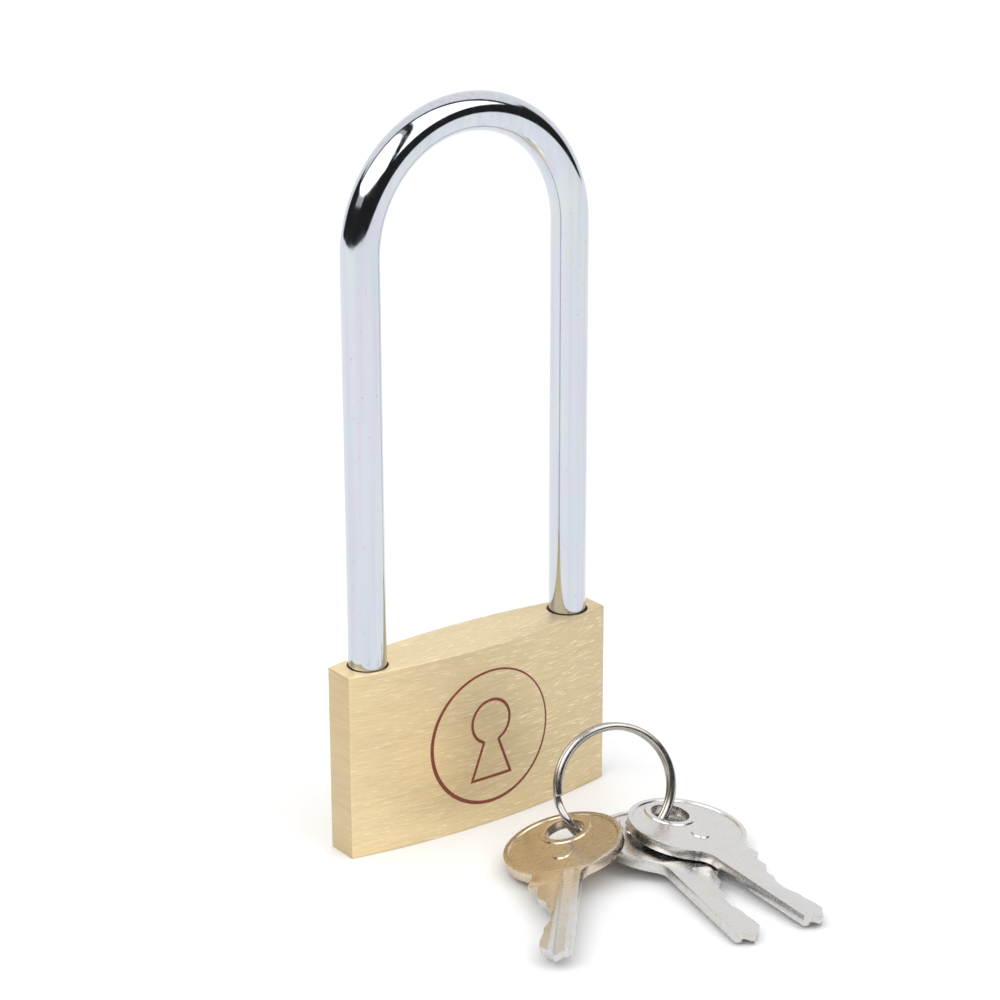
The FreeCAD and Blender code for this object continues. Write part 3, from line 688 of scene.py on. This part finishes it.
class PADLOCK_OT_shackle(Operator):
    """Adds the long round shackle with its notch, flat and groove"""
    bl_idname = "padlock.shackle"
    bl_label = "Shackle"

    def execute(self, context):
        sizes = context.scene.padlock_shackle
        radius, leg_x = sizes.rod / 2, sizes.spread / 2
        bow_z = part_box("shackle")[1].z - leg_x - radius
        deselect_all()
        bpy.ops.mesh.primitive_circle_add(vertices=sizes.sides, radius=radius,
                                          location=(-leg_x, 0, HEEL_END))
        shackle = active_piece("shackle_rod")
        apply_place(shackle)
        start_editing(shackle)
        bpy.ops.mesh.select_mode(type="EDGE")
        bpy.ops.mesh.select_all(action="SELECT")
        extrude_leg(bow_z - HEEL_END)
        bpy.ops.mesh.spin(steps=BOW_STEPS, angle=-math.pi, center=(0, 0, bow_z), axis=(0, 1, 0))
        extrude_leg(TOE_END - bow_z)
        bpy.ops.mesh.select_all(action="DESELECT")
        for level in (HEEL_END, TOE_END):
            select_edges(shackle, lambda edge: edge.is_boundary
                         and all(abs(v.co.z - level) < 1e-5 for v in edge.verts))
            bpy.ops.mesh.edge_face_add()
            bpy.ops.mesh.bevel(offset=sizes.end_round, segments=4, affect="EDGES")
        stop_editing()
        recalculate_outside(shackle)
        outside = radius + OVERCUT
        pin = box_middle("heel_pin")
        flat_top = pin.z + BESIDE_PIN
        groove = pin.z - BESIDE_PIN - SHACKLE_LIFT
        flat = block("flat", Vector((-leg_x + radius - FLAT_DEPTH, -outside, groove)),
                     Vector((-leg_x + outside, outside, flat_top)))
        collar = rod("collar", outside, Vector((-leg_x, 0, groove)),
                     Vector((-leg_x, 0, groove + GROOVE_HEIGHT)))
        cut(collar, rod("core", radius - FLAT_DEPTH, Vector((-leg_x, 0, groove - OVERCUT)),
                        Vector((-leg_x, 0, groove + 3 * OVERCUT))))
        half = BOLT_RADIUS + NOTCH_GAP
        notch = block("notch", Vector((leg_x - outside, -outside, BOLT_AT.z - half)),
                      Vector((leg_x - radius + NOTCH_DEPTH, outside, BOLT_AT.z + half)))
        cut(shackle, flat, collar, notch)
        smooth(shackle, 25)
        dress(shackle, bright_zinc(context.scene.padlock_colours.zinc), "shackle_plating",
              "shackle", "shackle")
        return {"FINISHED"}


# ---- Split ring --------------------------------------------------------------------------------------
JOG_ANGLE = 22                 # degrees that the wire takes to change turn
END_GAP_ANGLE = 4              # degrees between each end of the wire and the jog
TURN_STEPS, JOG_STEPS, WIRE_SIDES = 120, 10, 28
WIRE_END_ROUND = 0.12 * MM


class PADLOCK_OT_split_ring(Operator):
    """Adds the split ring: two turns of one flattened wire with a jog between them"""
    bl_idname = "padlock.split_ring"
    bl_label = "Split Ring"

    def execute(self, context):
        sizes = context.scene.padlock_ring
        radius = (sizes.diameter - sizes.width) / 2
        step = sizes.depth + sizes.gap
        jog = math.radians(JOG_ANGLE)
        span = math.radians(360 - JOG_ANGLE - END_GAP_ANGLE)
        start = -jog / 2 - span
        deselect_all()
        bpy.ops.mesh.primitive_circle_add(
            vertices=WIRE_SIDES, radius=sizes.width / 2, rotation=(math.pi / 2, 0, start),
            location=(radius * math.cos(start), radius * math.sin(start), -step / 2))
        ring = active_piece("split_ring_wire")
        ring.scale.y = sizes.depth / sizes.width
        apply_place(ring)
        start_editing(ring)
        bpy.ops.mesh.select_mode(type="EDGE")
        bpy.ops.mesh.select_all(action="SELECT")
        bpy.ops.mesh.spin(steps=TURN_STEPS, angle=-span, center=(0, 0, 0), axis=(0, 0, 1))
        for station in range(JOG_STEPS):
            rise = step / 2 * (math.cos(math.pi * station / JOG_STEPS)
                               - math.cos(math.pi * (station + 1) / JOG_STEPS))
            bpy.ops.mesh.spin(steps=1, angle=-jog / JOG_STEPS, center=(0, 0, 0), axis=(0, 0, 1))
            bpy.ops.transform.translate(value=(0, 0, rise))
        bpy.ops.mesh.spin(steps=TURN_STEPS, angle=-span, center=(0, 0, 0), axis=(0, 0, 1))
        select_edges(ring, lambda edge: edge.is_boundary)
        bpy.ops.mesh.edge_face_add()
        bpy.ops.mesh.bevel(offset=WIRE_END_ROUND, segments=2, affect="EDGES")
        stop_editing()
        recalculate_outside(ring)
        smooth(ring, 40)
        stand = Matrix.Rotation(math.radians(sizes.facing), 4, "Z")
        stand = stand @ Matrix.Rotation(math.radians(90 - sizes.lean), 4, "X")
        stand = stand @ Matrix.Rotation(math.radians(sizes.jog_at), 4, "Z")
        ring.matrix_world = Matrix.Translation(sizes.centre) @ stand
        apply_place(ring)
        dress(ring, ring_nickel(context.scene.padlock_colours.ring), "ring_steel", "ring",
              "split_ring")
        return {"FINISHED"}


# ---- Keys --------------------------------------------------------------------------------------------
# Each key: the head's centre, its turn, dip and tilt in degrees, and which side is up; in
# millimetres, as are the corners, which run from the shoulder or the tip's farthest point.
KEY_PLACES = (
    ("key_1", (-1.25, -25.6, 4.8), (-131.9, 3.1, 12.8), True),
    ("key_2", (13.8, -30.45, 3.16), (-101.9, 2.4, -6.8), False),
    ("key_3", (18.75, -31.7, 4.42), (-89.9, 4.6, -7.9), False),
)
KEY_SPINE = PLUG_RADIUS - 0.85 * MM
SHOULDER_CORNERS = ((-5.0, -4.3), (-2.6, -4.15), (-0.4, -4.6), (0.0, -4.2))
TIP_CORNERS = ((-1.1, -3.6), (-0.1, -2.8), (0.0, -2.3), (-0.9, -1.5), (-0.9, -0.4), (-1.3, 0.0))
SHOULDER_WIDTH = 4.6 * MM      # of the neck on its cut side
CUT_FLAT = 0.7 * MM            # half of each cut's flat bottom
TIP_PAST_PINS = 3.3 * MM
NECK_FILLET = 2.5 * MM
KEY_EDGE, HOLE_EDGE = 0.14 * MM, 0.12 * MM
FIELD_END = 7.9 * MM           # where the sunk field stops, towards the blade
FIELD_SLOPE = 0.8              # of the field's walls, out for each unit up
BOSS_AT, BOSS_RADIUS = 3.2 * MM, 1.5 * MM
GROOVE_END = 45 * MM           # past the tip
# Each groove along the blade: across it from and to, start, run-out and depth, in millimetres,
# and its side.
GROOVES = (
    ("groove", 0.7, 2.4, 8.6, 2.2, 0.5, 1),
    ("step", -19, -0.2, 10.6, 1, 0.16, 1),
    ("step", -19, -0.2, 10.6, 1, 0.16, -1),
)


def draw_outline(name, corners, low, high):
    """Draws a closed outline corner by corner, fills it and raises it to a plate."""
    deselect_all()
    bpy.ops.mesh.primitive_plane_add(size=MM, location=(*corners[0], low))
    piece = active_piece(name)
    apply_place(piece)
    start_editing(piece)
    bpy.ops.mesh.select_mode(type="VERT")
    bpy.ops.mesh.select_all(action="SELECT")
    bpy.ops.mesh.merge(type="CENTER")
    for here, there in zip(corners, corners[1:]):
        move = (there[0] - here[0], there[1] - here[1], 0)
        bpy.ops.mesh.extrude_region_move(TRANSFORM_OT_translate={"value": move})
    bpy.ops.mesh.select_all(action="SELECT")
    bpy.ops.mesh.edge_face_add()
    bpy.ops.mesh.select_all(action="SELECT")
    bpy.ops.mesh.extrude_region_move(TRANSFORM_OT_translate={"value": (0, 0, high - low)})
    stop_editing()
    recalculate_outside(piece)
    return piece


def blade_corners(sizes):
    """The blade from its shoulder along the cuts, round the tip and back along the spine."""
    corners = [(sizes.shoulder + x * MM, y * MM) for x, y in SHOULDER_CORNERS]
    for number in range(1, PIN_COUNT + 1):
        along = sizes.shoulder + box_middle("key_pin_%d" % number).z
        depth = -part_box("key_pin_%d" % number)[0].y
        if number == 1:
            corners.append((sizes.shoulder, depth))
        else:
            corners.append((along - CUT_FLAT, depth))
        corners.append((along + CUT_FLAT, depth))
    tip = sizes.shoulder + box_middle("key_pin_%d" % PIN_COUNT).z + TIP_PAST_PINS
    corners += [(tip + x * MM, KEY_SPINE + y * MM) for x, y in TIP_CORNERS]
    return corners


def ramped_groove(name, low_y, high_y, start, runout, depth, side, half):
    """A cutter for a groove along the blade whose floor climbs out near the head."""
    outline = [(start, half), (start + runout, half - depth), (GROOVE_END, half - depth),
               (GROOVE_END, half + OVERCUT), (start, half + OVERCUT)]
    piece = draw_outline(name, outline, low_y, high_y)
    piece.rotation_euler = (math.pi / 2, 0, 0)
    piece.location = (0, low_y + high_y, 0)
    apply_place(piece)
    if side < 0:
        piece.rotation_euler = (math.pi, 0, 0)
        piece.location = (0, low_y + high_y, 0)
        apply_place(piece)
    recalculate_outside(piece)
    return piece


def cone(name, radius, slope, start, end, sides=96):
    """A rod whose radius grows by the slope for each unit of its length."""
    along = end - start
    deselect_all()
    bpy.ops.mesh.primitive_cone_add(
        vertices=sides, radius1=radius, radius2=radius + slope * along.length,
        depth=along.length, location=(start + end) / 2,
        rotation=along.to_track_quat("Z", "Y").to_euler())
    piece = active_piece(name)
    apply_place(piece)
    return piece


def sunk_field(sizes, side):
    """A cutter for the head's field, inside the rim and clear of the collar and the boss."""
    half = sizes.thickness / 2
    floor, above = Z * side * (half - sizes.field), Z * side * (half + OVERCUT)
    radius = sizes.head / 2 - sizes.rim
    field = cone("field", radius, FIELD_SLOPE, floor, above, 128)
    aside = Vector((-sizes.hole_offset, 0, 0))
    reach = 2 * MM + radius
    end = block("end", Vector((FIELD_END, -reach, -2 * MM)), Vector((reach, reach, 2 * MM)))
    cut(field, end,
        cone("collar", sizes.hole / 2 + sizes.collar, -FIELD_SLOPE, floor + aside, above + aside),
        cone("boss", BOSS_RADIUS, -FIELD_SLOPE, floor + X * BOSS_AT, above + X * BOSS_AT, 48))
    return field


def make_key(sizes):
    """One key lying flat: head centred on the origin, blade along +X, grooved face up."""
    half = sizes.thickness / 2
    radius, fillet = sizes.head / 2, NECK_FILLET
    neck_x = math.sqrt((radius + fillet)**2 - (KEY_SPINE + fillet)**2)
    key = rod("key", radius, Vector((0, 0, -half)), Vector((0, 0, half)), 160)
    corners = blade_corners(sizes) + [(neck_x, KEY_SPINE), (0, KEY_SPINE),
                                      (0, -SHOULDER_WIDTH)]
    combine(key, draw_outline("blade", corners, -half, half), "UNION")
    web = draw_outline("web", [(1 * MM, 2 * MM), (neck_x, KEY_SPINE - MM),
                               (neck_x, KEY_SPINE + fillet)], -half, half)
    hollow_at = Vector((neck_x, KEY_SPINE + fillet, 0))
    cut(web, rod("hollow", fillet, hollow_at - Z * MM, hollow_at + Z * MM, 64))
    combine(key, web, "UNION")
    start_editing(key)
    bpy.ops.mesh.select_all(action="SELECT")
    bpy.ops.mesh.remove_doubles(threshold=2e-6)
    bpy.ops.mesh.dissolve_limited(angle_limit=math.radians(0.5))
    select_edges(key, lambda edge: sorted(abs(face.normal.z) > 0.9 for face in edge.link_faces)
                 == [False, True])
    bpy.ops.mesh.bevel(offset=KEY_EDGE, segments=3, affect="EDGES", clamp_overlap=True)
    stop_editing()
    aside = Vector((-sizes.hole_offset, 0, 0))
    cut(key, rod("hole", sizes.hole / 2, aside - Z * MM, aside + Z * MM, 96),
        sunk_field(sizes, 1), sunk_field(sizes, -1))
    for name, *lengths, side in GROOVES:
        cut(key, ramped_groove(name, *(length * MM for length in lengths), side, half))
    start_editing(key)
    select_edges(key, lambda edge: all(
        abs((v.co.xy - aside.xy).length - sizes.hole / 2) < 1e-5
        and abs(abs(v.co.z) - half) < 1e-6 for v in edge.verts))
    bpy.ops.mesh.bevel(offset=HOLE_EDGE, segments=3, affect="EDGES", clamp_overlap=True)
    stop_editing()
    return key


class PADLOCK_OT_keys(Operator):
    """Adds the three keys where they lie on the ring"""
    bl_idname = "padlock.keys"
    bl_label = "Keys"

    def execute(self, context):
        sizes = context.scene.padlock_key
        colour = context.scene.padlock_colours.key
        pattern_key = make_key(sizes)
        for name, centre, turns, grooved_side_up in KEY_PLACES:
            key = pattern_key.copy()
            key.data = pattern_key.data.copy()
            key.name = name + "_cut"
            context.scene.collection.objects.link(key)
            turn, dip, tilt = (math.radians(angle) for angle in turns)
            lie = Euler((tilt, dip, turn), "XYZ").to_matrix().to_4x4()
            middle = Vector(centre) * MM - lie.to_3x3() @ Z * (sizes.thickness / 2)
            if not grooved_side_up:
                lie = lie @ Matrix.Rotation(math.pi, 4, "X")
            key.matrix_world = Matrix.Translation(middle) @ lie
            apply_place(key)
            smooth(key, 30)
            finish = key_nickel(name + "_nickel", colour, 0.95 if name == "key_1" else 0.0,
                                Vector(centre) * MM, turn)
            dress(key, finish, "key_nickel", name, name)
        bpy.data.objects.remove(pattern_key)
        return {"FINISHED"}


# ---- Parts inside the lock ---------------------------------------------------------------------------
class PADLOCK_OT_inside(Operator):
    """Finishes the plug, pins, springs and bolt inside the case"""
    bl_idname = "padlock.inside"
    bl_label = "Inside"

    def execute(self, context):
        colours = context.scene.padlock_colours
        brass = turned_metal("turned_brass", tinted(colours.brass, 0.95), 0.26)
        steel = turned_metal("turned_steel", colours.steel, 0.3)
        wire = turned_metal("spring_wire", tinted(colours.steel, 0.8), 0.34)
        flush = bpy.data.materials["brushed_brass"]
        for name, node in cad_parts.items():
            if name.startswith(("chamber_plug", "bolt_bore_plug")):
                finish_node(node, flush)
            elif name.startswith(("key_pin", "driver_pin")) or name == "plug":
                finish_node(node, brass)
            elif name.startswith("pin_spring") or name in ("bolt_spring", "shackle_spring"):
                finish_node(node, wire)
            elif name in ("heel_pin", "plug_pin", "locking_bolt"):
                finish_node(node, steel)
        return {"FINISHED"}


# ---- Studio ------------------------------------------------------------------------------------------
# The tent's edges: each is where a direction's measure starts and ends its soft step. The
# measures are its share towards the camera's side, its share along X and its share upwards.
FRONT_START, FRONT_TOP = (-0.56, -0.44), (0.45, 0.50)
SEAM_START, SEAM_STOP = (-0.23, -0.19), (-0.09, -0.06)
GAP_START, GAP_STOP, GAP_FRONT = (-0.31, -0.27), (-0.13, -0.09), (-0.15, -0.12)
STRIPS_LOW = (0.3, 0.35)
PANELS_START = (-0.11, -0.10)
BACKDROP_RADIUS = 5.0
SOFTBOX_AT, SOFTBOX_AIM = Vector((-0.75, 0.0, 0.95)), Vector((0, 0, 0.06))


def softbox(name, place, look_at, width, depth, power):
    light = bpy.data.lights.new(name, "AREA")
    light.shape = "RECTANGLE"
    light.size, light.size_y = width, depth
    light.energy = power
    lamp = bpy.data.objects.new(name, light)
    lamp.location = place
    lamp.rotation_euler = (look_at - place).to_track_quat("-Z", "Y").to_euler()
    bpy.context.scene.collection.objects.link(lamp)


def soft_step(world, value, edges, before=0.0, after=1.0):
    """A smooth step from one brightness to another as a direction's measure grows."""
    result = remap(world, value, *edges, before, after)
    result.node.interpolation_type = "SMOOTHSTEP"
    return result


def studio_surround(settings):
    """A light tent: white all round and low down, two panels overhead, an open dark front."""
    world = bpy.data.worlds.new("light_tent")
    world.use_nodes = True
    bpy.context.scene.world = world
    place = add_node(world, "ShaderNodeTexCoord").outputs["Generated"]
    camera_side = add_node(world, "ShaderNodeVectorMath", operation="DOT_PRODUCT")
    around = math.radians(settings.azimuth)
    camera_side.inputs[1].default_value = (math.sin(around), -math.cos(around), 0)
    connect(world, place, camera_side.inputs[0])
    towards = camera_side.outputs["Value"]
    parts = add_node(world, "ShaderNodeSeparateXYZ")
    connect(world, place, parts.inputs[0])
    along, up = parts.outputs["X"], parts.outputs["Z"]
    front = soft_step(world, towards, FRONT_START)
    below_top = soft_step(world, up, FRONT_TOP, 1.0, 0.0)
    shade = calculate(world, "MULTIPLY", front, below_top)
    seam = [soft_step(world, towards, SEAM_START), soft_step(world, towards, SEAM_STOP, 1.0, 0.0)]
    gap = [soft_step(world, along, GAP_START), soft_step(world, along, GAP_STOP, 1.0, 0.0),
           soft_step(world, towards, GAP_FRONT)]
    for edges in (seam, gap):
        strip = soft_step(world, up, STRIPS_LOW)
        for edge in edges:
            strip = calculate(world, "MULTIPLY", strip, edge)
        shade = calculate(world, "MAXIMUM", shade, strip)
    open_part = calculate(world, "SUBTRACT", 1.0, shade)
    panels = soft_step(world, towards, PANELS_START, settings.surround, settings.panels)
    lit = calculate(world, "MULTIPLY", open_part, panels)
    lit = calculate(world, "ADD", lit, settings.front)
    background = world.node_tree.nodes["Background"]
    connect(world, lit, background.inputs["Strength"])
    background.inputs["Color"].default_value = (0.985, 0.99, 1.0, 1)


def backdrop():
    """A plain white shell that only the camera sees, so that every view is on white."""
    deselect_all()
    bpy.ops.mesh.primitive_ico_sphere_add(subdivisions=4, radius=BACKDROP_RADIUS)
    shell = active_piece("backdrop")
    shell.data.materials.append(metal("white_backdrop", (0, 0, 0), 1.0, 0.0))
    glow = shell.data.materials[0].node_tree.nodes["Principled BSDF"]
    glow.inputs["Emission Color"].default_value = (1, 1, 1, 1)
    glow.inputs["Emission Strength"].default_value = 1.0
    for kind in ("diffuse", "glossy", "transmission", "volume_scatter", "shadow"):
        setattr(shell, "visible_" + kind, False)


class PADLOCK_OT_studio(Operator):
    """Sets the pale floor, the lights and the camera"""
    bl_idname = "padlock.studio"
    bl_label = "Studio"

    def execute(self, context):
        settings = context.scene.padlock_studio
        deselect_all()
        bpy.ops.mesh.primitive_plane_add(size=settings.floor, location=(0, 0, 0))
        floor = active_piece("floor")
        paper = metal("white_paper", (0.9, 0.9, 0.9), 0.7, 0.0)
        floor.data.materials.append(paper)
        studio_surround(settings)
        backdrop()
        softbox("left_softbox", SOFTBOX_AT, SOFTBOX_AIM, 0.8, 1.2, settings.softbox)
        camera = bpy.data.objects.new("camera", bpy.data.cameras.new("camera"))
        context.scene.collection.objects.link(camera)
        around, above = math.radians(settings.azimuth), math.radians(settings.elevation)
        back = Vector((math.sin(around) * math.cos(above), -math.cos(around) * math.cos(above),
                       math.sin(above)))
        camera.location = settings.camera_at
        turn = (-back).to_track_quat("-Z", "Y").to_matrix()
        turn = turn @ Matrix.Rotation(math.radians(settings.roll), 3, "Z")
        camera.rotation_euler = turn.to_euler()
        camera.data.lens = settings.lens
        camera.data.sensor_width = 36.0
        camera.data.clip_start, camera.data.clip_end = 0.01, 20.0
        context.scene.camera = camera
        context.scene.view_settings.view_transform = "Standard"
        return {"FINISHED"}


class PADLOCK_PT_panel(Panel):
    """Lists the padlock's pieces in the sidebar"""
    bl_idname = "PADLOCK_PT_panel"
    bl_label = "Long Shackle Padlock"
    bl_space_type = "VIEW_3D"
    bl_region_type = "UI"
    bl_category = "Padlock"

    def draw(self, context):
        for group in GROUPS:
            box = self.layout.box()
            settings = getattr(context.scene, group)
            for name in settings.__annotations__:
                box.prop(settings, name)
        for operator in OPERATORS:
            self.layout.operator(operator.bl_idname)


GROUPS = {
    "padlock_case": CaseSizes,
    "padlock_shackle": ShackleSizes,
    "padlock_ring": RingSizes,
    "padlock_key": KeySizes,
    "padlock_colours": PadlockColours,
    "padlock_studio": StudioSettings,
}
OPERATORS = (PADLOCK_OT_case, PADLOCK_OT_mark, PADLOCK_OT_shackle, PADLOCK_OT_split_ring,
             PADLOCK_OT_keys, PADLOCK_OT_inside, PADLOCK_OT_studio)


def register():
    for group in GROUPS.values():
        bpy.utils.register_class(group)
    for operator in OPERATORS:
        bpy.utils.register_class(operator)
    bpy.utils.register_class(PADLOCK_PT_panel)
    for name, group in GROUPS.items():
        setattr(bpy.types.Scene, name, PointerProperty(type=group))


def unregister():
    for name in GROUPS:
        delattr(bpy.types.Scene, name)
    bpy.utils.unregister_class(PADLOCK_PT_panel)
    for operator in reversed(OPERATORS):
        bpy.utils.unregister_class(operator)
    for group in reversed(list(GROUPS.values())):
        bpy.utils.unregister_class(group)


def main():
    register()
    bpy.ops.padlock.case()
    bpy.ops.padlock.mark()
    bpy.ops.padlock.shackle()
    bpy.ops.padlock.split_ring()
    bpy.ops.padlock.keys()
    bpy.ops.padlock.inside()
    bpy.ops.padlock.studio()


if __name__ == "__main__":
    main()
